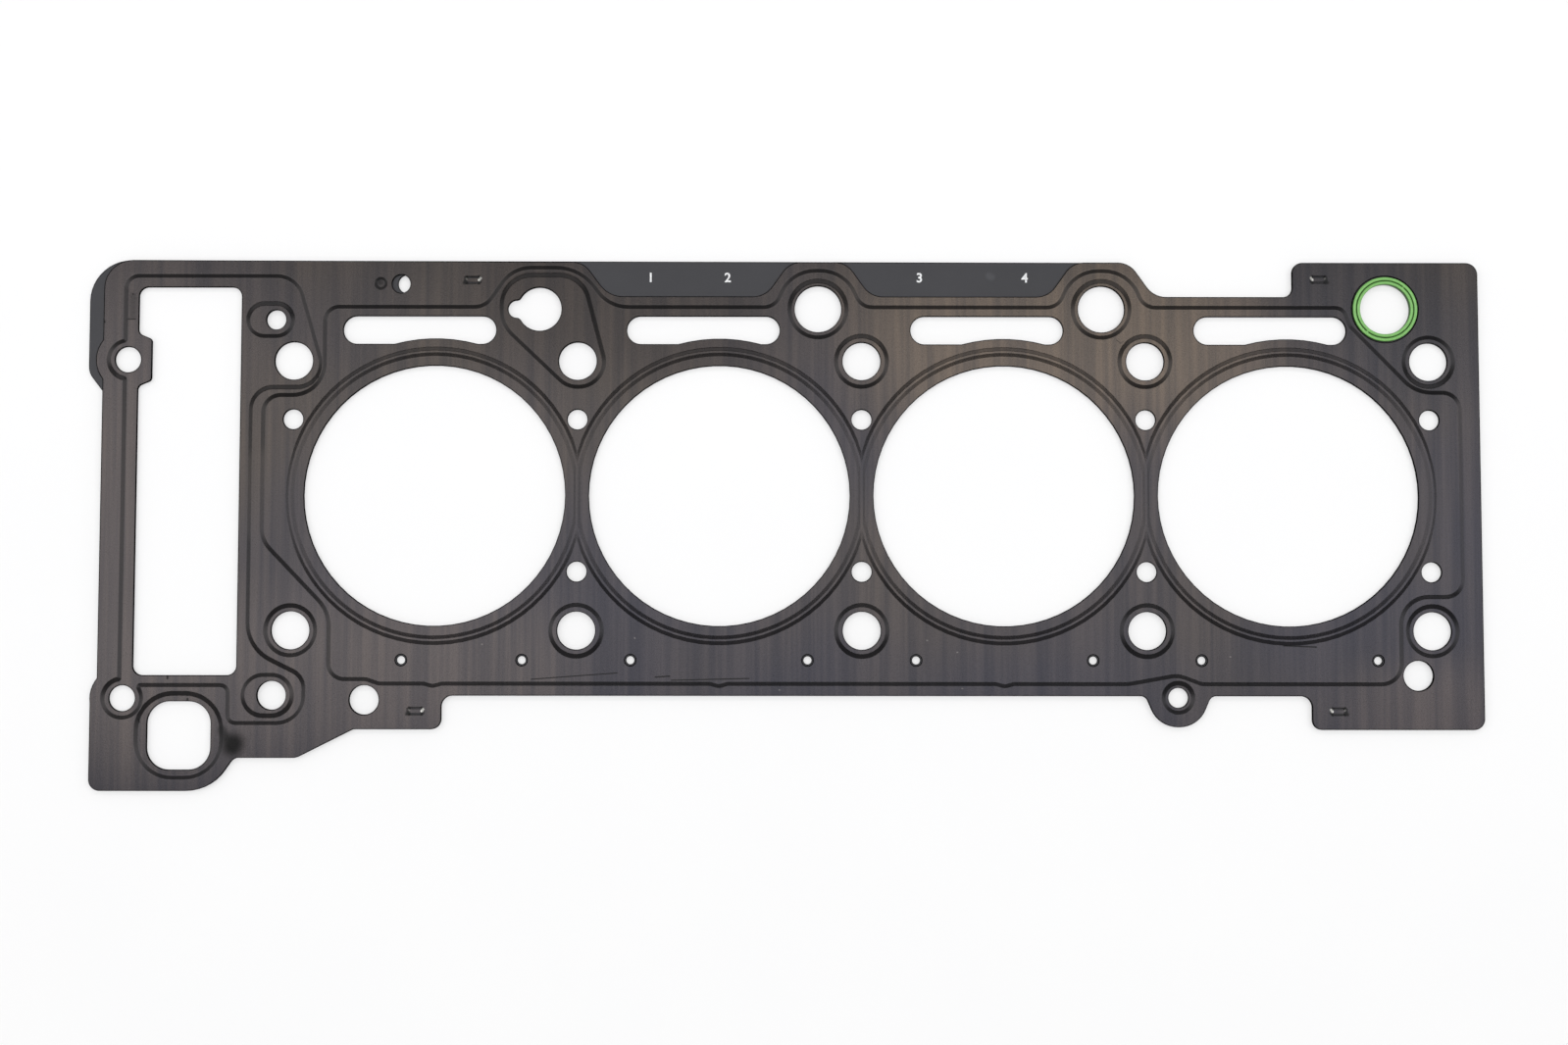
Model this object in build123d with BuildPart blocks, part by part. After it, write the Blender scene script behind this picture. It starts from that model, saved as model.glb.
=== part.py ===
from build123d import *
import os
from math import atan2, degrees

# Cylinder row and head bolt pattern, seen from above with the timing chain case on the left
bore_count = 4
bore_pitch = 90.0
bore_radius = 41.25
bolt_row = 42.7
bolt_radius = 6.0

row_end = bore_count * bore_pitch / 2
bore_xs = [(i + 0.5) * bore_pitch - row_end for i in range(bore_count)]
bolt_xs = [i * bore_pitch - row_end for i in range(bore_count + 1)]
inner_bolt_xs = bolt_xs[1:-1]

# Sheet steel
carrier_thickness = 0.5
sheet_thickness = 0.25
bead_height = 0.30
bead_slope = 1.3
slope_angle = degrees(atan2(bead_slope, bead_height))
stack_height = carrier_thickness + bead_height + sheet_thickness

# Long edges, and the wider pads at both ends of the sheets
rail_top = 63.4
rail_bottom = -63.15
pad_top = 74.4
pad_bottom = -73.7
foot_bottom = -82.65
port_bottom = -93.0
front = bolt_xs[0]
rear = bolt_xs[-1]
left_edge = front - 60.5
port_left_edge = front - 62.6
tab_left_edge = front - 65.1
right_edge = rear + 16.0

# Ridge bead round each bore, from the flat land outwards
land_radius = 44.2
ridge_crest_inner = 45.7
ridge_crest_outer = 46.0
ridge_outer = 47.2
web_half_width = 1.2
web_crest_half_width = 0.3
web_half_length = 9.5

# Coolant openings round the bores
slot_shift = -5.2
slot_y = 52.6
slot_centres = 39.6
slot_width = 8.85
slot_land_radius = 49.95
coolant_radius = 3.15
coolant_row = 24.1
metering_row = -52.0
metering_radius = 1.75
metering_carrier_radius = 1.27
metering_xs = [front + 34.9, rear - 17.2]
metering_xs += [x + side * 17.1 for x in inner_bolt_xs for side in (-1, 1)]
coolant_holes = [(x, side * coolant_row) for x in inner_bolt_xs + [rear] for side in (-1, 1)]
coolant_holes += [(front, coolant_row)]

# Oil passages, with the raised collars round them
oil_radius = 7.4
oil_collar_radius = 8.4
oil_holes = [(inner_bolt_xs[1] - 13.8, 59.4), (inner_bolt_xs[2] - 13.8, 59.4)]
boss_half_top = 9.0
boss_half_foot = 16.8

# Keyhole beside the second bolt, inside a drop shaped collar
keyhole = (inner_bolt_xs[0] - 12.2, 59.3)
keyhole_radius = 6.95
keyhole_neck_radius = 2.8
keyhole_neck_reach = 7.2
keyhole_blend = 1.5

# Plain round holes
ear_holes = [(front - 52.6, 43.05), (front - 52.6, -64.05)]
ear_radius = 4.07
ear_rim_radius = 10.1
lug_hole = (inner_bolt_xs[2] + 9.6, -63.7)
lug_hole_radius = 3.13
lug_radius = 9.2
front_pad_hole = (front + 23.5, -64.5)
front_pad_radius = 4.63
lower_oval_hole = (front - 5.6, -63.1)
lower_oval_radius = 4.53
rear_pad_hole = (rear - 4.7, -56.7)
rear_pad_radius = 4.73
upper_oval_hole = (front - 5.7, 55.8)
upper_oval_radius = 3.11

# Pair of locating holes that overlap, and the blind dimple beside them
locating_hole = (front + 33.8, 67.3)
locating_radius = 2.9
locating_shift = 1.9
dimple = (front + 27.3, 67.5)
dimple_radius = 1.3

# Timing chain window, with a tongue that carries the upper ear hole
window_left = front - 49.4
window_right = front - 16.85
window_bottom = -56.8
window_top = 66.2
window_corner = 3.0
tongue_reach = 4.35
tongue_bottom = 36.4
tongue_top = 49.6
tongue_run_out = 1.8

# Port below the window
port_centre = (front - 34.6, -75.7)
port_width = 20.0
port_height = 21.4
port_corner = 7.0
port_bead_width = 26.8
port_bead_height = 26.4
port_bead_corner = 11.5

# Collars pressed into the sheet, each given by its edge nearest the hole
bolt_collar_radius = 7.45
margin_ring_radius = 7.2
lug_ring_radius = 4.0
ear_ring_radius = 6.1
upper_oval_collar_radius = 5.2
upper_oval_stretch = 3.8
upper_oval_centre = (upper_oval_hole[0] - upper_oval_stretch / 2, upper_oval_hole[1])
lower_oval_collar_radius = 6.4
lower_oval_stretch = 2.7
lower_oval_centre = (lower_oval_hole[0] - lower_oval_stretch / 2, lower_oval_hole[1])

# Clinched joints that hold the two sheets together
clinches = [(front + 56.5, 68.6), (rear - 34.5, 69.0), (front + 39.7, -68.0), (rear - 30.0, -68.0)]
clinch_length = 3.4
clinch_width = 2.0
clinch_slope = 1.3
clinch_slit = 0.3
clinch_slit_y = (clinch_width - clinch_slit) / 2

# Rubber ring seal clipped into the carrier
seal_centre = (rear - 13.6, 59.5)
seal_bore_radius = 7.95
seal_radius = 10.3
seal_seat_radius = 9.6
seal_proud = 0.6
seal_edge = 0.25
seal_groove_radius = 9.05
seal_groove_depth = 0.4
seal_groove_width = 0.4
seal_gap = 0.3

# Overhang of the blocks that the embossed face is cut from
block_margin = 10.0

# Edge of the sheets below the bore line, from the port corner to the right end
lower_edge = [
    (front - 24.3, port_bottom, 14.5),
    (front - 17.2, foot_bottom, 3.2),
    (front + 2.4, foot_bottom, 4.0),
    (front + 20.2, pad_bottom, 3.0),
    (front + 47.8, pad_bottom, 3.2),
    (front + 47.8, rail_bottom, 3.5),
    (lug_hole[0] - 10.3, rail_bottom, 2.5),
    (lug_hole[0] - 6.2, lug_hole[1] - lug_radius, 9.0),
    (lug_hole[0] + 6.2, lug_hole[1] - lug_radius, 9.0),
    (lug_hole[0] + 10.3, rail_bottom, 2.5),
    (rear - 38.3, rail_bottom, 3.5),
    (rear - 38.3, pad_bottom, 3.0),
    (right_edge, pad_bottom, 3.5),
    (right_edge, pad_top, 3.8),
]

# Edge of the beaded sheet above the bore line, stepped back between the oil bosses
boss_edge = []
for x, y in reversed(oil_holes):
    boss_edge += [
        (x + boss_half_foot, rail_top, 7.5),
        (x + boss_half_top, pad_top, 7.0),
        (x - boss_half_top, pad_top, 7.0),
        (x - boss_half_foot, rail_top, 7.5),
    ]
upper_edge = [
    (rear - 43.0, pad_top, 3.3),
    (rear - 43.0, rail_top, 3.0),
    *boss_edge,
    (inner_bolt_xs[0] + 9.7, rail_top, 9.0),
    (inner_bolt_xs[0] + 1.6, pad_top, 7.0),
]

# Left end of the beaded sheet, and of the carrier with the tab that shows beside it
left_top = pad_top + 0.5
sheet_left_edge = [
    (left_edge, left_top, 9.0),
    (left_edge, ear_holes[1][1], 0.5),
    (port_left_edge, ear_holes[1][1], 0.5),
    (port_left_edge, port_bottom, 3.5),
]
carrier_left_edge = [
    (tab_left_edge, left_top, 13.0),
    (tab_left_edge, ear_holes[0][1] - 4.2, 6.0),
    (left_edge, ear_holes[0][1] - 10.2, 0.5),
    *sheet_left_edge[1:],
]

# The carrier runs straight on from the last boss, behind the set back edge
carrier_upper_edge = upper_edge[:4]

# Half bead round the coolant field, along the middle of its slope
field_top = 60.0
field_bottom = -59.4
coolant_bead = [
    (front + 9.7, field_top, 4.5),
    (front + 9.7, 31.8, 10.0),
    (front - 9.5, 31.8, 5.5),
    (front - 9.5, -14.2, 10.0),
    (front + 12.1, -36.7, 12.0),
    (front + 12.1, field_bottom + 1.4, 5.0),
    (front + 24.0, field_bottom + 1.4, 4.0),
    (front + 28.0, field_bottom, 4.0),
]
for x in bore_xs[:-1]:
    coolant_bead += [
        (x - 2.8, field_bottom, 3.0),
        (x, field_bottom - 0.8, 3.0),
        (x + 2.8, field_bottom, 3.0),
    ]
coolant_bead += [
    (lug_hole[0] - 15.6, field_bottom, 15.0),
    (lug_hole[0], field_bottom + 2.8, 8.0),
    (lug_hole[0] + 7.4, field_bottom, 5.0),
    (rear - 9.9, field_bottom, 6.5),
    (rear - 9.9, -31.9, 8.8),
    (rear + 9.8, -31.9, 5.5),
    (rear + 9.8, 32.9, 5.5),
    (rear - 4.1, 32.9, 12.0),
    (rear - 24.9, 54.3, 4.0),
    (rear - 26.8, field_top, 3.5),
]
for x, y in reversed(oil_holes):
    coolant_bead += [
        (x + 13.6, field_top, 5.5),
        (x + 8.8, y + 12.3, 11.8),
        (x - 8.8, y + 12.3, 11.8),
        (x - 13.6, field_top, 5.5),
    ]
coolant_bead += [
    (keyhole[0] + 22.3, field_top, 12.0),
    (keyhole[0] + 12.5, keyhole[1] + 13.3, 15.0),
    (keyhole[0] - 8.6, keyhole[1] + 13.3, 11.0),
    (keyhole[0] - 17.3, field_top, 6.5),
]

# Half bead round the timing chain window, which also takes in the bolt beside it
chain_bead = [
    (window_left - 4.1, window_top + 3.6, 4.0),
    (window_left - 4.1, window_bottom - 3.1, 2.5),
    (window_right - 2.5, window_bottom - 3.1, 2.5),
    (window_right - 2.5, -71.8, 2.5),
    (front + 4.4, -71.8, 8.5),
    (front + 4.4, -57.2, 6.0),
    (window_right + 3.4, -48.3, 13.0),
    (window_right + 3.4, 34.3, 7.0),
    (front + 11.0, 34.3, 7.4),
    (front + 0.6, window_top + 3.6, 8.5),
]

# Half bead round the port below the window
port_bead = [
    (port_centre[0] - port_bead_width / 2, port_centre[1] + port_bead_height / 2, port_bead_corner),
    (port_centre[0] - port_bead_width / 2, port_centre[1] - port_bead_height / 2, port_bead_corner),
    (port_centre[0] + port_bead_width / 2, port_centre[1] - port_bead_height / 2, port_bead_corner),
    (port_centre[0] + port_bead_width / 2, port_centre[1] + port_bead_height / 2, port_bead_corner),
]

# Half bead of the drop shaped collar round the keyhole and the bolt below it
drop_bead = [
    (keyhole[0] - 12.1, keyhole[1] + 10.9, 9.5),
    (keyhole[0] - 12.1, bolt_row + 11.7, 11.0),
    (inner_bolt_xs[0] - 3.3, bolt_row - 8.2, 8.0),
    (inner_bolt_xs[0] + 10.7, bolt_row - 8.2, 8.0),
    (keyhole[0] + 13.5, keyhole[1] + 10.9, 9.5),
]


def closed_face(corners):
    """Face inside a closed outline of (x, y, corner radius) corners."""
    with BuildSketch() as face:
        with BuildLine():
            FilletPolyline(*[(x, y) for x, y, _ in corners], radius=[r for _, _, r in corners], close=True)
        make_face()
    return face.sketch


def sheet_outline(corners):
    """Outer edge of a sheet, with a round rim past each ear hole."""
    with BuildSketch() as outline:
        add(closed_face(corners))
        with Locations(*ear_holes):
            Circle(ear_rim_radius)
    return outline.sketch


def sunk_field(bead, bottom, ring_centres=()):
    """Pocket with sloping sides. Its bead is the line half way up the slope."""
    with BuildPart() as field:
        with BuildSketch(Plane.XY.offset(bottom)):
            add(closed_face(bead))
            with Locations(*ring_centres):
                Circle(ear_ring_radius)
            offset(amount=bead_slope / 2)
        extrude(amount=bead_height, taper=slope_angle)
        mirror(about=Plane.XY.offset(bottom + bead_height / 2), mode=Mode.REPLACE)
    return field.part


# Openings that pass through both sheets at the same size
with BuildSketch() as openings:
    with Locations(*[(x, 0) for x in bore_xs]):
        Circle(bore_radius)
    with Locations(*[(x, side * bolt_row) for x in bolt_xs for side in (-1, 1)]):
        Circle(bolt_radius)
    with Locations(*coolant_holes):
        Circle(coolant_radius)
    with Locations(*oil_holes):
        Circle(oil_radius)
    with Locations(*ear_holes):
        Circle(ear_radius)
    with Locations(lug_hole):
        Circle(lug_hole_radius)
    with Locations(front_pad_hole):
        Circle(front_pad_radius)
    with Locations(rear_pad_hole):
        Circle(rear_pad_radius)
    with Locations(lower_oval_hole):
        Circle(lower_oval_radius)
    with Locations(upper_oval_hole):
        Circle(upper_oval_radius)
    with Locations(port_centre):
        RectangleRounded(port_width, port_height, port_corner)

# Coolant slot above each bore, its lower edge bowed round the sealing land
with BuildSketch() as slots:
    with Locations(*[(x + slot_shift, slot_y) for x in bore_xs]):
        SlotCenterToCenter(slot_centres, slot_width)
    with Locations(*[(x, 0) for x in bore_xs]):
        Circle(slot_land_radius, mode=Mode.SUBTRACT)

# Keyhole, a round hole with a narrow neck blended into its left side
with BuildSketch() as keyhole_opening:
    with Locations((keyhole[0] - keyhole_neck_reach / 2, keyhole[1])):
        SlotCenterToCenter(keyhole_neck_reach, 2 * keyhole_neck_radius)
    with Locations(keyhole):
        Circle(keyhole_radius)
    offset(amount=keyhole_blend)
    offset(amount=-keyhole_blend)

# Timing chain window with its tongue
with BuildSketch() as window:
    with BuildLine():
        FilletPolyline(
            (window_left, window_bottom),
            (window_right, window_bottom),
            (window_right, window_top),
            (window_left, window_top),
            (window_left, tongue_top + tongue_run_out),
            (window_left + tongue_reach, tongue_top),
            (window_left + tongue_reach, tongue_bottom),
            (window_left, tongue_bottom - tongue_run_out),
            radius=[window_corner] * 4 + [2.0, 1.5, 1.5, 2.0],
            close=True,
        )
    make_face()

# Straight bead on the web between two bores
with BuildPart() as web_bead:
    with BuildSketch(Plane.XZ):
        with BuildLine():
            Polyline(
                (-web_half_width, 0),
                (web_half_width, 0),
                (web_crest_half_width, bead_height),
                (-web_crest_half_width, bead_height),
                close=True,
            )
        make_face()
    extrude(amount=web_half_length, both=True)

# Pocket of a clinch, sheared along its sides and sloping up at both ends
with BuildPart() as clinch_pocket:
    with BuildSketch(Plane.XZ):
        with BuildLine():
            Polyline(
                (-clinch_length / 2, 0),
                (clinch_length / 2, 0),
                (clinch_length / 2 + clinch_slope, bead_height),
                (-clinch_length / 2 - clinch_slope, bead_height),
                close=True,
            )
        make_face()
    extrude(amount=clinch_width / 2, both=True)


def press_form(bottom):
    """Block whose upper face is a face of the beaded sheet, with its fields at the given height."""
    middle = bottom + bead_height / 2
    with BuildPart() as form:
        with BuildSketch(Plane.XY.offset(bottom - stack_height)):
            with Locations(((tab_left_edge + right_edge) / 2, 0)):
                Rectangle(right_edge - tab_left_edge + 2 * block_margin, 2 * (block_margin - port_bottom))
        extrude(amount=stack_height + bead_height)

        # Sunk fields, and the rings, dimple and clinches sunk in the raised margin
        add(sunk_field(coolant_bead, bottom), mode=Mode.SUBTRACT)
        add(sunk_field(chain_bead, bottom, ear_holes), mode=Mode.SUBTRACT)
        add(sunk_field(port_bead, bottom), mode=Mode.SUBTRACT)
        with Locations((front, -bolt_row, middle), (rear, -bolt_row, middle), (rear, bolt_row, middle)):
            Cone(margin_ring_radius, margin_ring_radius + bead_slope, bead_height, mode=Mode.SUBTRACT)
        with Locations((*lug_hole, middle)):
            Cone(lug_ring_radius, lug_ring_radius + bead_slope, bead_height, mode=Mode.SUBTRACT)
        with Locations((*dimple, middle)):
            Cone(dimple_radius, dimple_radius + bead_slope / 2, bead_height, mode=Mode.SUBTRACT)
        with Locations(*[(x, y, bottom) for x, y in clinches]):
            add(clinch_pocket.part, mode=Mode.SUBTRACT)

        # Raised collars inside the fields
        with BuildSketch(Plane.XY.offset(bottom)):
            add(closed_face(drop_bead))
            with Locations(upper_oval_centre):
                SlotCenterToCenter(upper_oval_stretch, 2 * upper_oval_collar_radius)
            with Locations(lower_oval_centre):
                SlotCenterToCenter(lower_oval_stretch, 2 * lower_oval_collar_radius)
            offset(amount=bead_slope / 2)
        extrude(amount=bead_height, taper=slope_angle)
        with Locations(*[(x, side * bolt_row, middle) for x in inner_bolt_xs for side in (-1, 1)]):
            Cone(bolt_collar_radius + bead_slope, bolt_collar_radius, bead_height)
        with Locations(*[(x, y, middle) for x, y in oil_holes]):
            Cone(oil_collar_radius + bead_slope, oil_collar_radius, bead_height)

        # Ridges round the bores, with the flat lands inside them and the webs between them
        with Locations(*[(x, 0, middle) for x in bore_xs]):
            Cone(ridge_outer, ridge_crest_outer, bead_height)
        with Locations(*[(x, 0, middle) for x in bore_xs]):
            Cone(land_radius, ridge_crest_inner, bead_height, mode=Mode.SUBTRACT)
        with Locations(*[(x, 0, bottom) for x in inner_bolt_xs]):
            add(web_bead.part)
    return form.part


# Flat carrier sheet
with BuildPart() as carrier:
    with BuildSketch():
        add(sheet_outline(lower_edge + carrier_upper_edge + carrier_left_edge))
        add(openings.sketch, mode=Mode.SUBTRACT)
        add(slots.sketch, mode=Mode.SUBTRACT)
        add(keyhole_opening.sketch, mode=Mode.SUBTRACT)
        add(window.sketch, mode=Mode.SUBTRACT)
        with Locations(*[(x, metering_row) for x in metering_xs]):
            Circle(metering_carrier_radius, mode=Mode.SUBTRACT)
        with Locations((locating_hole[0] + locating_shift, locating_hole[1])):
            Circle(locating_radius, mode=Mode.SUBTRACT)
        with Locations(seal_centre):
            Circle(seal_seat_radius, mode=Mode.SUBTRACT)
    extrude(amount=carrier_thickness)

# Beaded sheet, cut from a block between two copies of its embossed face
with BuildPart() as top_layer:
    with BuildSketch(Plane.XY.offset(carrier_thickness)):
        add(sheet_outline(lower_edge + upper_edge + sheet_left_edge))
        add(openings.sketch, mode=Mode.SUBTRACT)
        add(slots.sketch, mode=Mode.SUBTRACT)
        add(keyhole_opening.sketch, mode=Mode.SUBTRACT)
        add(window.sketch, mode=Mode.SUBTRACT)
        with Locations(*[(x, metering_row) for x in metering_xs]):
            Circle(metering_radius, mode=Mode.SUBTRACT)
        with Locations(locating_hole):
            Circle(locating_radius, mode=Mode.SUBTRACT)
        with Locations(seal_centre):
            Circle(seal_radius + seal_gap, mode=Mode.SUBTRACT)
        with Locations(*[(x, y + side * clinch_slit_y) for x, y in clinches for side in (-1, 1)]):
            Rectangle(clinch_length, clinch_slit, mode=Mode.SUBTRACT)
    extrude(amount=stack_height)
    add(press_form(carrier_thickness + sheet_thickness), mode=Mode.INTERSECT)
    add(press_form(carrier_thickness), mode=Mode.SUBTRACT)

# Rubber ring, its outer edge grooved to grip the carrier
seal_top = stack_height + seal_proud
seal_bottom = -seal_proud
groove_inner = seal_groove_radius - seal_groove_width / 2
groove_outer = seal_groove_radius + seal_groove_width / 2
with BuildPart() as seal_ring:
    with BuildSketch(Plane((*seal_centre, 0), x_dir=(1, 0, 0), z_dir=(0, -1, 0))):
        with BuildLine():
            Polyline(
                (seal_bore_radius, seal_bottom + seal_edge),
                (seal_bore_radius + seal_edge, seal_bottom),
                (groove_inner, seal_bottom),
                (groove_inner, seal_bottom + seal_groove_depth),
                (groove_outer, seal_bottom + seal_groove_depth),
                (groove_outer, seal_bottom),
                (seal_radius - seal_edge, seal_bottom),
                (seal_radius, seal_bottom + seal_edge),
                (seal_radius, 0),
                (seal_seat_radius, 0),
                (seal_seat_radius, carrier_thickness),
                (seal_radius, carrier_thickness),
                (seal_radius, seal_top - seal_edge),
                (seal_radius - seal_edge, seal_top),
                (groove_outer, seal_top),
                (groove_outer, seal_top - seal_groove_depth),
                (groove_inner, seal_top - seal_groove_depth),
                (groove_inner, seal_top),
                (seal_bore_radius + seal_edge, seal_top),
                (seal_bore_radius, seal_top - seal_edge),
                close=True,
            )
        make_face()
    revolve(axis=Axis((*seal_centre, 0), (0, 0, 1)))

carrier.part.label = "carrier_layer"
top_layer.part.label = "top_layer"
seal_ring.part.label = "seal_ring"

os.makedirs("parts", exist_ok=True)
export_step(carrier.part, "parts/carrier_layer.step")
export_step(top_layer.part, "parts/top_layer.step")
export_step(seal_ring.part, "parts/seal_ring.step")
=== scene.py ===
import math

import bmesh
import bpy
from mathutils import Euler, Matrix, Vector


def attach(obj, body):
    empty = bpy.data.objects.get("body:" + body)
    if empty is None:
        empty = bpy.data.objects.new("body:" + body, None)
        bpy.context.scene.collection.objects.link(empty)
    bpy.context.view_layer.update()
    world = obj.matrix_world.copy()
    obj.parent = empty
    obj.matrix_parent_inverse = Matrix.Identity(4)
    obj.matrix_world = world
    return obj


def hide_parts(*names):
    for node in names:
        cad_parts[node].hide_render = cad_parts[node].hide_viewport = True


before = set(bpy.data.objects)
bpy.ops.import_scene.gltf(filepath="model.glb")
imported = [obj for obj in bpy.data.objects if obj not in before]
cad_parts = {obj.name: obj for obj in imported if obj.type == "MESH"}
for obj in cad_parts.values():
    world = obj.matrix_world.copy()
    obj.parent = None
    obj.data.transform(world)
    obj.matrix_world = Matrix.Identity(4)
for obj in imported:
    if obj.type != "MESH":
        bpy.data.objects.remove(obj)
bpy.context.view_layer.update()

MM = 0.001

# Levels of the gasket, in millimetres above the underside of its carrier. Its margin stands a rise above
# its sunk fields
CARRIER = 0.5
SHEET = 0.25
RISE = 0.3
FIELD_BOTTOM = CARRIER
FIELD_TOP = FIELD_BOTTOM + SHEET
FLOOR = -0.6

# Share of a bead's slope that each of its two rounded ends takes up, how much steeper they leave its
# middle, the shares at which the slope is cut into strips, and how far its ends reach past it
ROUNDING = 0.22
SLOPE_STEEPNESS = 1 / (1 - ROUNDING)
SLOPE_CUTS = (0.07, 0.14, ROUNDING, 1 - ROUNDING, 0.86, 0.93)
REACH = 0.18

# Ridge beads lie inside this distance from the centres of their bores, and join on the webs.
# Their shading keeps a share of their lean
BORES = (-135, -45, 45, 135)
BORE_PITCH = 90.0
ROW_FRONT = BORES[0] - BORE_PITCH / 2
RIDGE_RADIUS = 48.0
WEB_LENGTH = 32.0
RIDGE_LEAN = 0.9

# Rolled edge that punching leaves on the upper rim: its width and its drop
ROLL = 0.32
ROLL_DROP = 0.09

# Walls that meet under a smaller angle than this cosine's are shaded as one
SMOOTH_COSINE = 0.8

# Rubber ring with two rounded lips and a groove between them, which nubs bridge at two turns
SEAL_CENTRE = (166.4, 59.5)
SEAL_STEPS = 240
SEAL_BORE = 7.95
SEAL_RADIUS = 10.3
SEAL_SEAT = 9.6
SEAL_GROOVE = (9.0, 9.22)
SEAL_TOP = 1.65
SEAL_MIDDLE = 0.525
GROOVE_FLOOR = 1.25
# Heights between which painted shade darkens the ring from the tops of its lips downwards
GROOVE_SHADE = (SEAL_TOP - 0.08, SEAL_TOP - 0.3)
LIP_FULLNESS = 0.8
SEAT_PLAY = 0.01
NUBS = (50, 231)
NUB_HALF_ANGLE = 2
NUB_REACH = 0.1
NUB_TOP = SEAL_TOP - 0.12

# Plain numbers printed on the carrier, each at its place along the strip. A digit takes up a share of the
# font's size, and the ink is two half thicknesses deep
PRINTS = (("1", -67.0), ("2", -42.5), ("3", 18.5), ("4", 52.0))
PRINT_ROW = 69.6
PRINT_HEIGHT = 2.9
PRINT_BOLDNESS = 0.09
DIGIT_SHARE = 0.7
INK_HALF = 0.01
INK_MIDDLE = CARRIER + 0.015

# Clinches, each with the side on which its ramp is scraped bare, and the half size of the place they take.
# A clinch's marks end within the near distance, and every other place counts as far off
CLINCHES = ((-123.5, 68.6, 1), (145.5, 69.0, -1), (-140.3, -68.0, 1), (150.0, -68.0, -1))
CLINCH_HALF_LENGTH = 4.0
CLINCH_HALF_WIDTH = 2.0
CLINCH_NEAR = 8.0
FAR_OFF = 1000.0

# Upward part of the normal at which painted shade starts to darken a slope or a rim, and at which that
# shade is dark
SLOPE_SHOWS = (0.998, 0.983)
EDGE_SHOWS = (0.968, 0.85)

# How much painted shade darkens the slopes of the ridges and of the other beads, and the displayed colours
# that painted shade turns slopes and rims to
RIDGE_SHADE = 0.25
BEAD_SHADE = 0.6
SLOPE_SHADE_COLOUR = (24, 24, 25)
RIM_SHADE_COLOUR = (8, 8, 8)

# Tints of the coating's streaks, and the depth of the grain of the coatings and the rubber
DARK_STREAK = (0.79, 0.81, 0.85, 1.0)
PALE_STREAK = (1.25, 1.2, 1.14, 1.0)
GRAIN = 0.02

# Distances between which the floor turns to plain white, and how white it is seen before and after
FLOOR_FADE = (450.0, 1500.0)
FLOOR_WHITE = (0.45, 1.0)

# Share of a mark's half width over which it is full, before it fades
MARK_CORE = 0.2

# Faint round stamp on the carrier, and broad patches of the coating. Each mark has its two ends, its
# half width, a displayed colour and a strength
STAMP = ((40.6, 70.2), (41.4, 69.8), 1.7, (66, 66, 70), 0.6)
PATCHES = (
    ((30, 50), (98, 52), 48, (80, 72, 65), 0.7),
    ((-105, 62), (-50, 55), 34, (44, 41, 41), 0.6),
    ((-240, 60), (-238, -60), 48, (64, 60, 60), 0.75),
    ((-225, -62), (-115, -54), 42, (66, 62, 62), 0.75),
    ((165, -68), (185, -66), 22, (62, 58, 59), 0.75),
    ((150, 70), (178, 50), 32, (46, 45, 48), 0.8),
)

# Scratches, a smudge beside the port, nicks and specks of the coating, and painted shade in a dimple,
# given in the same way
MARKS = (
    ((-104.0, -58.0), (-77.0, -56.0), 0.28, (12, 12, 12), 0.9),
    ((-65.0, -57.3), (-60.5, -57.0), 0.35, (12, 12, 12), 0.9),
    ((-60.0, -58.3), (-35.5, -57.7), 0.28, (12, 12, 12), 0.9),
    ((133.0, -47.3), (143.3, -47.7), 0.35, (10, 10, 10), 0.9),
    ((-197.6, -78.9), (-197.2, -78.2), 5.2, (8, 8, 8), 0.95),
    ((-199.5, -76.5), (-201.0, -74.0), 2.2, (16, 16, 16), 0.7),
    # Painted shade in the locating dimple, darker towards its upper left
    ((-153.3, 68.0), (-152.9, 67.9), 1.5, (26, 25, 26), 0.75),
    ((-233.0, 56.0), (-230.5, 56.0), 0.3, (10, 10, 10), 0.9),
    ((-231.4, 57.0), (-231.4, 63.5), 1.6, (38, 37, 38), 0.5),
    ((-231.5, 64.0), (-231.4, 64.0), 0.4, (10, 10, 10), 0.8),
    ((-240.3, 55.0), (-240.2, 55.0), 0.5, (8, 8, 8), 0.9),
    ((-119.7, -47.0), (-119.5, -47.0), 0.3, (96, 93, 92), 0.7),
    ((-71.6, -45.0), (-71.4, -45.1), 0.3, (96, 93, 92), 0.7),
    ((20.5, -45.7), (20.7, -45.7), 0.3, (96, 93, 92), 0.7),
    ((30.0, -49.5), (30.2, -49.4), 0.3, (96, 93, 92), 0.7),
    ((116.0, -50.8), (116.2, -50.8), 0.3, (96, 93, 92), 0.7),
    ((31.5, -60.8), (31.7, -60.8), 0.3, (96, 93, 92), 0.7),
    ((-26.0, -61.3), (-25.8, -61.3), 0.3, (96, 93, 92), 0.7),
    ((-212.0, -64.2), (-212.0, -65.8), 0.45, (8, 8, 8), 0.9),
    ((-218.4, -57.0), (-218.4, -57.8), 0.5, (8, 8, 8), 0.9),
    ((-227.2, -70.6), (-227.0, -71.6), 0.4, (8, 8, 8), 0.8),
    ((81.0, 49.6), (82.4, 48.6), 0.2, (24, 23, 23), 0.6),
    ((82.4, 48.6), (83.4, 49.3), 0.2, (24, 23, 23), 0.6),
)

# Painted shadow in the slit of one quarter of a clinch
CLINCH_SLIT_SHADOWS = (
    ((0.0, 0.95), (1.9, 0.95), 0.6, (4, 4, 4), 0.95),
    ((2.0, 0.85), (2.0, 1.0), 0.7, (4, 4, 4), 0.95),
)
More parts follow.
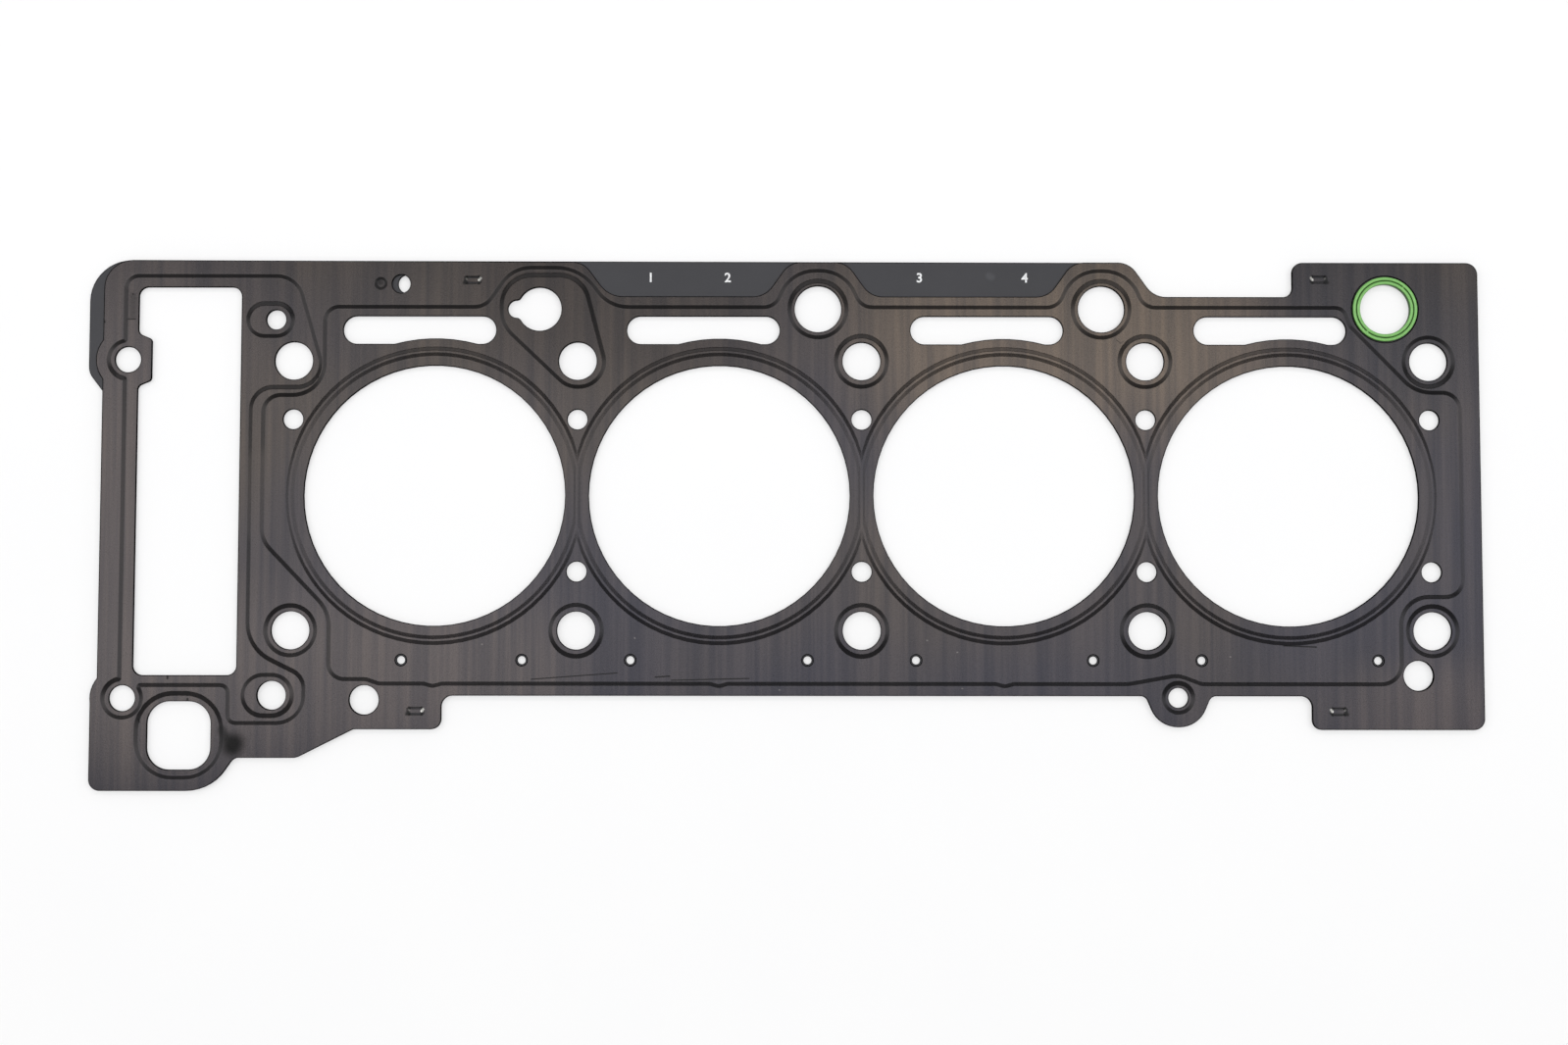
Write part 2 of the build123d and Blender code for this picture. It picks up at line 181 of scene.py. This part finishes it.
# Marks of a whole clinch with its bare ramp on the right: a painted shadow at one corner, a faint painted
# highlight at the other end, and a pale patch on the ramp that is partly its bare steel and partly a
# painted glint
CLINCH_SHADOWS_AND_GLINTS = (
    ((-2.3, -0.5), (-2.7, -0.9), 0.9, (10, 10, 10), 0.8),
    ((-2.0, 0.2), (-2.1, 0.5), 0.35, (130, 128, 124), 0.7),
    ((2.05, 0.0), (2.4, 0.55), 0.6, (240, 239, 233), 1.0),
)


def colour(red, green, blue):
    """Linear colour of a displayed 0 to 255 colour."""
    def linear(value):
        value /= 255
        return value / 12.92 if value <= 0.04045 else ((value + 0.055) / 1.055) ** 2.4
    return (linear(red), linear(green), linear(blue), 1.0)


class Nodes:
    """Short names for building a material's node tree."""

    def __init__(self, name):
        self.material = bpy.data.materials.new(name)
        self.material.use_nodes = True
        self.tree = self.material.node_tree
        self.tree.nodes.clear()
        self.output = self.tree.nodes.new("ShaderNodeOutputMaterial")

    def add(self, kind, inputs=None, **settings):
        """New node with its settings, and its inputs set or linked."""
        node = self.tree.nodes.new(kind)
        for key, value in settings.items():
            setattr(node, key, value)
        for key, value in (inputs or {}).items():
            self.put(node.inputs[key], value)
        return node

    def put(self, socket, value):
        if isinstance(value, bpy.types.NodeSocket):
            self.tree.links.new(value, socket)
        else:
            socket.default_value = value

    def math(self, operation, *values, clamp=False):
        node = self.add("ShaderNodeMath", operation=operation, use_clamp=clamp)
        for socket, value in zip(node.inputs, values):
            self.put(socket, value)
        return node.outputs[0]

    def vector(self, operation, *values):
        """Vector arithmetic, as a number where the operation gives one."""
        node = self.add("ShaderNodeVectorMath", operation=operation)
        for socket, value in zip(node.inputs, values):
            self.put(socket, value)
        return node.outputs["Value" if operation in ("LENGTH", "DISTANCE", "DOT_PRODUCT") else "Vector"]

    def millimetres(self, scale=(1, 1, 1)):
        """Object coordinates in millimetres, stretched by a scale."""
        place = self.add("ShaderNodeTexCoord").outputs["Object"]
        mapping = self.add("ShaderNodeMapping", {"Vector": place, "Scale": [s / MM for s in scale]})
        return mapping.outputs["Vector"]

    def noise(self, vector, scale, detail=2.0, roughness=0.5):
        inputs = {"Vector": vector, "Scale": scale, "Detail": detail, "Roughness": roughness}
        return self.add("ShaderNodeTexNoise", inputs).outputs["Fac"]

    def spread(self, value, low, high, to_low=0.0, to_high=1.0, kind="LINEAR"):
        node = self.add("ShaderNodeMapRange", {
            "Value": value, "From Min": low, "From Max": high, "To Min": to_low, "To Max": to_high,
        }, interpolation_type=kind)
        return node.outputs["Result"]

    def mix(self, factor, first, second, blend="MIX"):
        node = self.add("ShaderNodeMix", data_type="RGBA", blend_type=blend)
        self.put(node.inputs["Factor"], factor)
        self.put(node.inputs[6], first)
        self.put(node.inputs[7], second)
        return node.outputs[2]

    def bump(self, height, strength):
        node = self.add("ShaderNodeBump", {"Height": height, "Distance": GRAIN * MM, "Strength": strength})
        return node.outputs["Normal"]

    def upright(self):
        """Upward part of the surface's own normal, 1 on a flat and 0 on a wall."""
        normal = self.add("ShaderNodeNewGeometry").outputs["Normal"]
        height = self.add("ShaderNodeSeparateXYZ", {0: normal}).outputs["Z"]
        return self.math("ABSOLUTE", height)

    def mark(self, tint, place, start, end, width, shade, strength):
        """Tints along a line with a soft border. The place has no height."""
        run = Vector((end[0] - start[0], end[1] - start[1], 0))
        offset = self.vector("SUBTRACT", place, (*start, 0))
        along = self.vector("DOT_PRODUCT", offset, run / run.length_squared)
        share = self.math("MAXIMUM", along, 0.0, clamp=True)
        nearest = self.add("ShaderNodeVectorMath", {0: run, "Scale": share}, operation="SCALE").outputs[0]
        gap = self.vector("DISTANCE", offset, nearest)
        mask = self.spread(gap, MARK_CORE * width, width, strength, 0.0, "SMOOTHSTEP")
        return self.mix(mask, tint, colour(*shade))

    def surface(self, inputs):
        shader = self.add("ShaderNodeBsdfPrincipled", inputs)
        self.tree.links.new(shader.outputs["BSDF"], self.output.inputs["Surface"])
        return self.material


def bore_distance(n, place):
    """Distance from the centre of the nearest bore, plus the way beyond the front of the row."""
    x, y, _ = n.add("ShaderNodeSeparateXYZ", {0: place}).outputs
    across = n.math("SUBTRACT", n.math("WRAP", x, BORE_PITCH, 0.0), BORE_PITCH / 2)
    distance = n.math("SQRT", n.math("ADD", n.math("POWER", across, 2.0), n.math("POWER", y, 2.0)))
    beyond = n.math("MAXIMUM", n.math("SUBTRACT", ROW_FRONT, x), 0.0)
    return n.math("ADD", distance, beyond)


def clinch_place(n, place):
    """Place measured from the clinch that is near, its bare ramp on the right, and far off elsewhere."""
    local = (FAR_OFF, FAR_OFF, 0.0, 1.0)
    for x, y, side in CLINCHES:
        offset = n.vector("SUBTRACT", place, (x, y, 0))
        near = n.math("LESS_THAN", n.vector("LENGTH", offset), CLINCH_NEAR)
        local = n.mix(near, local, n.vector("MULTIPLY", offset, (side, 1, 1)))
    return local


def coated_steel():
    """Satin brown black coating of the beaded sheet, streaked across the gasket, with painted shade on its
    slopes and rims and painted shadows and glints at its clinches.
    """
    n = Nodes("coated_steel")
    place = n.millimetres((1, 1, 0))
    bands = n.spread(n.noise(n.millimetres((0.3, 0.007, 0.0)), 1.0, 2.0, 0.6), 0.38, 0.62)
    brushed = n.spread(n.noise(n.millimetres((1.3, 0.02, 0.0)), 1.0, 3.0, 0.6), 0.35, 0.65)
    streaks = n.math("ADD", n.math("MULTIPLY", bands, 0.7), n.math("MULTIPLY", brushed, 0.3))
    # Tone that differs at random, and turns lighter and warmer towards +Y
    broad = n.noise(n.millimetres((0.012, 0.014, 0.0)), 1.0, 2.0)
    warmer = n.math("MULTIPLY", n.add("ShaderNodeSeparateXYZ", {0: place}).outputs["Y"], 0.006)
    warmth = n.math("ADD", n.spread(broad, 0.3, 0.7, -0.1, 0.9), warmer, clamp=True)
    tint = n.mix(warmth, colour(48, 47, 52), colour(57, 53, 51))
    for patch in PATCHES:
        tint = n.mark(tint, place, *patch)
    tint = n.mix(1.0, tint, n.mix(streaks, DARK_STREAK, PALE_STREAK), "MULTIPLY")
    for mark in MARKS:
        tint = n.mark(tint, place, *mark)
    # Painted shadow in the clinches' slits and at one corner, a faint painted highlight, and a glint on
    # the bare ramp that is partly bare steel and partly painted
    clinch = clinch_place(n, place)
    quarter = n.vector("ABSOLUTE", clinch)
    for mark in CLINCH_SLIT_SHADOWS:
        tint = n.mark(tint, quarter, *mark)
    for mark in CLINCH_SHADOWS_AND_GLINTS:
        tint = n.mark(tint, clinch, *mark)
    grain = n.noise(n.millimetres(), 2.2, 3.0, 0.6)
    upright = n.upright()
    slope = n.spread(upright, *SLOPE_SHOWS)
    edge = n.spread(upright, *EDGE_SHOWS)
    # Painted shade: the slopes darken, those of the ridges less than the other beads', and the rims and
    # walls of every edge and hole turn near black
    from_bore = bore_distance(n, place)
    shade = n.spread(from_bore, RIDGE_RADIUS - 1.0, RIDGE_RADIUS + 0.5, RIDGE_SHADE, BEAD_SHADE)
    tint = n.mix(n.math("MULTIPLY", slope, shade), tint, colour(*SLOPE_SHADE_COLOUR))
    tint = n.mix(edge, tint, colour(*RIM_SHADE_COLOUR))
    polish = n.spread(grain, 0.3, 0.7, 0.22, 0.29)
    return n.surface({
        "Base Color": tint, "Metallic": n.spread(edge, 0.0, 1.0, 0.85, 0.0),
        "Roughness": n.math("ADD", polish, n.math("MULTIPLY", edge, 0.6)),
        "Specular IOR Level": n.spread(edge, 0.0, 1.0, 0.5, 0.0),
        "Normal": n.bump(grain, 0.35),
    })


def carrier_steel():
    """Matt blue grey coating of the flat carrier."""
    n = Nodes("carrier_steel")
    cloud = n.noise(n.millimetres((0.05, 0.05, 0.05)), 1.0, 3.0)
    grain = n.noise(n.millimetres(), 3.0, 3.0, 0.6)
    edge = n.spread(n.upright(), *EDGE_SHOWS)
    tint = n.mix(cloud, colour(43, 43, 47), colour(51, 51, 55))
    tint = n.mark(tint, n.millimetres((1, 1, 0)), *STAMP)
    # Painted shade turns the rims and walls of the carrier's edges and holes near black
    tint = n.mix(edge, tint, colour(*RIM_SHADE_COLOUR))
    return n.surface({
        "Base Color": tint, "Metallic": n.spread(edge, 0.0, 1.0, 0.3, 0.0),
        "Roughness": n.spread(grain, 0.3, 0.7, 0.42, 0.52),
        "Specular IOR Level": n.spread(edge, 0.0, 1.0, 0.5, 0.0),
        "Normal": n.bump(grain, 0.5),
    })


def green_rubber():
    """Moulded rubber with a faint bloom, and painted shade that darkens it below the tops of its lips and
    in its groove.
    """
    n = Nodes("green_rubber")
    height = n.add("ShaderNodeSeparateXYZ", {0: n.millimetres()}).outputs["Z"]
    depth = n.spread(height, *GROOVE_SHADE)
    cloud = n.noise(n.millimetres(), 0.6, 3.0)
    grain = n.noise(n.millimetres(), 4.0, 3.0, 0.6)
    tint = n.mix(cloud, colour(104, 166, 80), colour(124, 184, 98))
    # Painted shade darkens the ring below the tops of its lips
    return n.surface({
        "Base Color": n.mix(n.math("MULTIPLY", depth, 0.9), tint, colour(26, 56, 16)),
        "Roughness": n.spread(grain, 0.3, 0.7, 0.26, 0.36),
        "Specular IOR Level": n.spread(depth, 0.0, 1.0, 0.6, 0.1),
        "Normal": n.bump(grain, 0.4),
    })


def white_ink():
    """Thin print that lets a little of the coating through."""
    n = Nodes("white_ink")
    wear = n.spread(n.noise(n.millimetres(), 3.0, 3.0, 0.6), 0.35, 0.5)
    tint = n.mix(wear, colour(190, 191, 193), colour(232, 233, 234))
    return n.surface({"Base Color": tint, "Roughness": 0.6})


def floor_white():
    """Pale floor that keeps a faint shadow and turns plain white far from the gasket."""
    n = Nodes("floor_white")
    paper = n.noise(n.millimetres(), 0.02, 2.0)
    tint = n.mix(paper, (0.91, 0.91, 0.92, 1), (0.94, 0.94, 0.94, 1))
    diffuse = n.add("ShaderNodeBsdfDiffuse", {"Color": tint})
    glow = n.add("ShaderNodeEmission", {"Color": (1.0, 1.0, 1.0, 1), "Strength": 1.0})
    path = n.add("ShaderNodeLightPath")
    seen = n.math("ADD", path.outputs["Is Camera Ray"], path.outputs["Is Glossy Ray"], clamp=True)
    seen = n.math("ADD", seen, path.outputs["Is Transmission Ray"], clamp=True)
    mixed = n.add("ShaderNodeMixShader")
    distance = n.vector("LENGTH", n.millimetres())
    white = n.spread(distance, *FLOOR_FADE, *FLOOR_WHITE, "SMOOTHSTEP")
    n.put(mixed.inputs[0], n.math("MULTIPLY", seen, white))
    n.put(mixed.inputs[1], diffuse.outputs[0])
    n.put(mixed.inputs[2], glow.outputs[0])
    n.tree.links.new(mixed.outputs[0], n.output.inputs["Surface"])
    return n.material


def add_piece(name, mesh, material):
    """Object of a mesh and its material that rides on the gasket's one body."""
    piece = bpy.data.objects.new(name, mesh)
    bpy.context.scene.collection.objects.link(piece)
    mesh.materials.append(material)
    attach(piece, "root")
    return piece


def slope_height(share):
    """Height from 0 to 1 at a share of the way up a slope with rounded ends."""
    if share < ROUNDING:
        return SLOPE_STEEPNESS * share * share / (2 * ROUNDING)
    if share > 1 - ROUNDING:
        return 1 - slope_height(1 - share)
    return SLOPE_STEEPNESS * (share - ROUNDING / 2)


def slope_steepness(share):
    """Steepness at that share, as a multiple of the straight slope's."""
    return SLOPE_STEEPNESS * min(1.0, share / ROUNDING, (1 - share) / ROUNDING)


def is_top(face):
    """Whether a face is flat or a slope on the upper side."""
    return face.normal.z > 0.9


def is_under(face):
    """Whether a face is flat or a slope on the underside."""
    return face.normal.z < -0.9


def is_slope(face, side):
    """Whether a face is a bead's slope on the upper side, 1, or the underside, -1."""
    return 0.9 < side * face.normal.z < 0.9999


def is_wall(face):
    """Whether a face is the side of an edge or a hole."""
    return abs(face.normal.z) < 0.3


def on_ridge(vert):
    """Whether a point belongs to the ridge bead of a bore."""
    return min(math.hypot(vert.co.x / MM - x, vert.co.y / MM) for x in BORES) < RIDGE_RADIUS


def slope_reach(vert, share):
    """How far a point of a slope moves outwards. Crests and webs of the ridges stay as they are."""
    on_web = abs(vert.co.y) < WEB_LENGTH / 2 * MM
    if any(map(is_wall, vert.link_faces)) or (on_ridge(vert) and (on_web or share > 0.5)):
        return 0.0
    return REACH * (2 * share - 1)


def curve_slopes(bm, top_normal, under_normal, shift):
    """Cuts the slopes of the beads into strips, curves them and notes their exact normals and shifts."""
    for bottom in (FIELD_BOTTOM, FIELD_TOP):
        for share in SLOPE_CUTS:
            cut = (0, 0, (bottom + RISE * share) * MM)
            geometry = bm.verts[:] + bm.edges[:] + bm.faces[:]
            bmesh.ops.bisect_plane(bm, geom=geometry, dist=0.0001 * MM, plane_co=cut, plane_no=(0, 0, 1))
    bm.normal_update()
    heights = {}
    for vert in bm.verts:
        for side, bottom, layer in ((1, FIELD_TOP, top_normal), (-1, FIELD_BOTTOM, under_normal)):
            slopes = [face for face in vert.link_faces if is_slope(face, side)]
            vert[layer] = (0, 0, side)
            if not slopes:
                continue
            share = min(max((vert.co.z / MM - bottom) / RISE, 0.0), 1.0)
            lean = Vector((0, 0))
            for face in slopes:
                lean += face.normal.xy / abs(face.normal.z)
            vert[shift] = (-side * slope_reach(vert, share) * MM * lean.normalized()).to_3d()
            lean *= slope_steepness(share) / len(slopes)
            if on_ridge(vert):
                lean *= RIDGE_LEAN
            vert[layer] = Vector((lean.x, lean.y, side)).normalized()
            heights[vert] = (bottom + RISE * slope_height(share)) * MM
    for vert, height in heights.items():
        vert.co.z = height
    bm.normal_update()


def at_clinch(point):
    """Whether a point belongs to a clinch."""
    return any(
        abs(point.x / MM - x) < CLINCH_HALF_LENGTH and abs(point.y / MM - y) < CLINCH_HALF_WIDTH
        for x, y, _ in CLINCHES
    )


def roll_rims(bm):
    """Rounds the upper rim of every edge and hole but those of the clinches, and returns the new faces."""
    rims = []
    for edge in bm.edges:
        faces = edge.link_faces
        if len(faces) == 2 and any(map(is_top, faces)) and any(map(is_wall, faces)):
            if not at_clinch(edge.verts[0].co):
                rims.append(edge)
    beveled = bmesh.ops.bevel(
        bm, geom=rims, affect="EDGES", offset=ROLL * MM, offset_type="OFFSET", segments=1,
        clamp_overlap=False,
    )
    rolled = set(beveled["faces"])
    for vert in {v for face in rolled for v in face.verts}:
        if not any(is_top(f) and f not in rolled for f in vert.link_faces):
            vert.co.z += (ROLL - ROLL_DROP) * MM
    return rolled


def corner_normals(bm, upper, lower, rolled, top_normal, under_normal):
    """Exact normals of the faces' corners, in the order of the mesh."""
    normals = []
    for face in bm.faces:
        for loop in face.loops:
            around = loop.vert.link_faces
            if face in upper or (face in rolled and any(f in upper for f in around)):
                normal = loop.vert[top_normal]
            elif face in lower:
                normal = loop.vert[under_normal]
            else:
                walls = [f for f in around if is_wall(f)]
                if face not in rolled:
                    walls = [f for f in walls if f.normal.dot(face.normal) > SMOOTH_COSINE]
                normal = sum((f.normal for f in walls), Vector())
            normals.append(normal.normalized() if normal.length else face.normal.copy())
    return normals


def sheet_piece(name, node, material, beaded):
    """Adds a finished sheet in place of its node: same form, with curved beads and rolled rims."""
    bm = bmesh.new()
    bm.from_mesh(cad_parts[node].data)
    bmesh.ops.remove_doubles(bm, verts=bm.verts, dist=0.001 * MM)
    bmesh.ops.dissolve_limit(bm, angle_limit=math.radians(0.2), verts=bm.verts, edges=bm.edges)
    layers = bm.verts.layers.float_vector
    notes = ("top_normal", "under_normal", "shift")
    for note in notes:
        layers.new(note)
    top_normal, under_normal, shift = [layers[note] for note in notes]
    for vert in bm.verts:
        vert[top_normal] = (0, 0, 1)
        vert[under_normal] = (0, 0, -1)
    if beaded:
        curve_slopes(bm, top_normal, under_normal, shift)
    rolled = roll_rims(bm)
    bmesh.ops.triangulate(bm, faces=[f for f in bm.faces if len(f.verts) > 4 and not is_wall(f)])
    bm.normal_update()
    upper = {face for face in bm.faces if is_top(face) and face not in rolled}
    lower = {face for face in bm.faces if is_under(face)}
    for vert in bm.verts:
        vert.co += vert[shift]
    bm.normal_update()
    turned = [f for f in upper if f.normal.z < 0] + [f for f in lower if f.normal.z > 0]
    bmesh.ops.reverse_faces(bm, faces=turned)
    bm.normal_update()
    normals = corner_normals(bm, upper, lower, rolled, top_normal, under_normal)
    for note in notes:
        layers.remove(layers[note])
    mesh = bpy.data.meshes.new(name)
    bm.to_mesh(mesh)
    bm.free()
    mesh.shade_smooth()
    mesh.normals_split_custom_set(normals)
    piece = add_piece(name, mesh, material)
    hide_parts(node)


def lip(inner, outer, steps=8):
    """Half of a rounded lip's outline as (radius, height) points, from its inner to its outer foot."""
    middle, half = (inner + outer) / 2, (outer - inner) / 2
    points = []
    for i in range(steps + 1):
        turn = math.pi * i / steps
        height = GROOVE_FLOOR + (SEAL_TOP - GROOVE_FLOOR) * math.sin(turn) ** LIP_FULLNESS
        points.append((middle - half * math.cos(turn), height))
    return points


def seal_piece():
    """Adds the ring in place of its node, turned from one outline."""
    upper = lip(SEAL_BORE, SEAL_GROOVE[0]) + lip(SEAL_GROOVE[1], SEAL_RADIUS)
    lower = [(radius, 2 * SEAL_MIDDLE - height) for radius, height in reversed(upper)]
    seat = [
        (SEAL_RADIUS, CARRIER + 2 * SEAT_PLAY), (SEAL_SEAT, CARRIER + SEAT_PLAY),
        (SEAL_SEAT, -SEAT_PLAY), (SEAL_RADIUS, -2 * SEAT_PLAY),
    ]
    outline = upper + seat + lower
    bm = bmesh.new()
    rows = []
    for i in range(SEAL_STEPS):
        degrees = 360 * i / SEAL_STEPS
        at_nub = any(abs(degrees - nub) < NUB_HALF_ANGLE for nub in NUBS)
        row = []
        for radius, height in outline:
            in_groove = SEAL_GROOVE[0] - NUB_REACH < radius < SEAL_GROOVE[1] + NUB_REACH
            if at_nub and in_groove and height > SEAL_MIDDLE:
                height = max(height, NUB_TOP)
            turn = math.radians(degrees)
            x = SEAL_CENTRE[0] + radius * math.cos(turn)
            y = SEAL_CENTRE[1] + radius * math.sin(turn)
            row.append(bm.verts.new(Vector((x, y, height)) * MM))
        rows.append(row)
    for row, following in zip(rows, rows[1:] + rows[:1]):
        for i in range(len(outline)):
            bm.faces.new((row[i - 1], row[i], following[i], following[i - 1]))
    bmesh.ops.recalc_face_normals(bm, faces=bm.faces)
    mesh = bpy.data.meshes.new("rubber_ring")
    bm.to_mesh(mesh)
    bm.free()
    mesh.shade_smooth()
    mesh.set_sharp_from_angle(angle=math.radians(50))
    piece = add_piece("rubber_ring", mesh, green_rubber())
    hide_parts("seal_ring")


def white_print(text, x, ink):
    """Adds a number, centred on its place."""
    curve = bpy.data.curves.new("print_" + text, "FONT")
    curve.body = text
    curve.size = PRINT_HEIGHT * MM / DIGIT_SHARE
    curve.align_x = "CENTER"
    curve.extrude = INK_HALF * MM
    curve.offset = PRINT_BOLDNESS * MM
    letters = bpy.data.objects.new("print_" + text, curve)
    bpy.context.scene.collection.objects.link(letters)
    bpy.context.view_layer.update()
    mesh = bpy.data.meshes.new_from_object(letters.evaluated_get(bpy.context.evaluated_depsgraph_get()))
    bpy.data.objects.remove(letters)
    for vert in mesh.vertices:
        vert.co += Vector((x, PRINT_ROW - PRINT_HEIGHT / 2, INK_MIDDLE)) * MM
    mesh.materials.clear()
    add_piece("number_" + text, mesh, ink)


sheet_piece("flat_carrier", "carrier_layer", carrier_steel(), beaded=False)
sheet_piece("beaded_sheet", "top_layer", coated_steel(), beaded=True)
seal_piece()
printing_ink = white_ink()
for number, x in PRINTS:
    white_print(number, x, printing_ink)

# Floor, which the rubber ring stands on
FLOOR_HALF_SIZE = 3.0
floor_mesh = bpy.data.meshes.new("floor")
floor_bm = bmesh.new()
bmesh.ops.create_grid(floor_bm, x_segments=1, y_segments=1, size=FLOOR_HALF_SIZE)
floor_bm.to_mesh(floor_mesh)
floor_bm.free()
floor = bpy.data.objects.new("floor", floor_mesh)
floor.location.z = FLOOR * MM
floor_mesh.materials.append(floor_white())
bpy.context.scene.collection.objects.link(floor)

# Long softbox overhead, with dimmer ones behind and in front of it: depth and place in metres, and watts
SOFTBOXES = (
    ("softbox", 0.55, 0.055, 20.0),
    ("back_softbox", 0.5, 1.12, 15.0),
    ("front_softbox", 0.5, -0.95, 4.0),
)
SOFTBOX_LENGTH = 4.0
SOFTBOX_HEIGHT = 1.2
for name, depth, y, watts in SOFTBOXES:
    light = bpy.data.lights.new(name, "AREA")
    light.shape = "RECTANGLE"
    light.size = SOFTBOX_LENGTH
    light.size_y = depth
    light.energy = watts
    softbox = bpy.data.objects.new(name, light)
    softbox.location = (0.0, y, SOFTBOX_HEIGHT)
    bpy.context.scene.collection.objects.link(softbox)

# Room that is white at the horizon and dim overhead
world = bpy.data.worlds.new("room")
bpy.context.scene.world = world
world.use_nodes = True
room = world.node_tree
direction = room.nodes.new("ShaderNodeSeparateXYZ")
room.links.new(room.nodes.new("ShaderNodeTexCoord").outputs["Generated"], direction.inputs[0])
fade = room.nodes.new("ShaderNodeMapRange")
fade.interpolation_type = "SMOOTHSTEP"
for name, value in {"From Min": 0.12, "From Max": 0.65, "To Min": 1.0, "To Max": 0.1}.items():
    fade.inputs[name].default_value = value
room.links.new(direction.outputs["Z"], fade.inputs["Value"])
background = room.nodes["Background"]
background.inputs["Color"].default_value = (1, 1, 1, 1)
room.links.new(fade.outputs["Result"], background.inputs["Strength"])

# Camera above the gasket, tipped back a little: its place in millimetres and its turns in degrees
CAMERA_PLACE = (-25.8, -41.4, 619.7)
CAMERA_TURNS = (3.04, -0.12, 0.05)
camera_data = bpy.data.cameras.new("camera")
camera_data.sensor_width = 36.0
camera_data.lens = 45.03
camera = bpy.data.objects.new("camera", camera_data)
camera.location = Vector(CAMERA_PLACE) * MM
camera.rotation_euler = Euler([math.radians(turn) for turn in CAMERA_TURNS])
bpy.context.scene.collection.objects.link(camera)
bpy.context.scene.camera = camera

bpy.context.scene.view_settings.view_transform = "Standard"
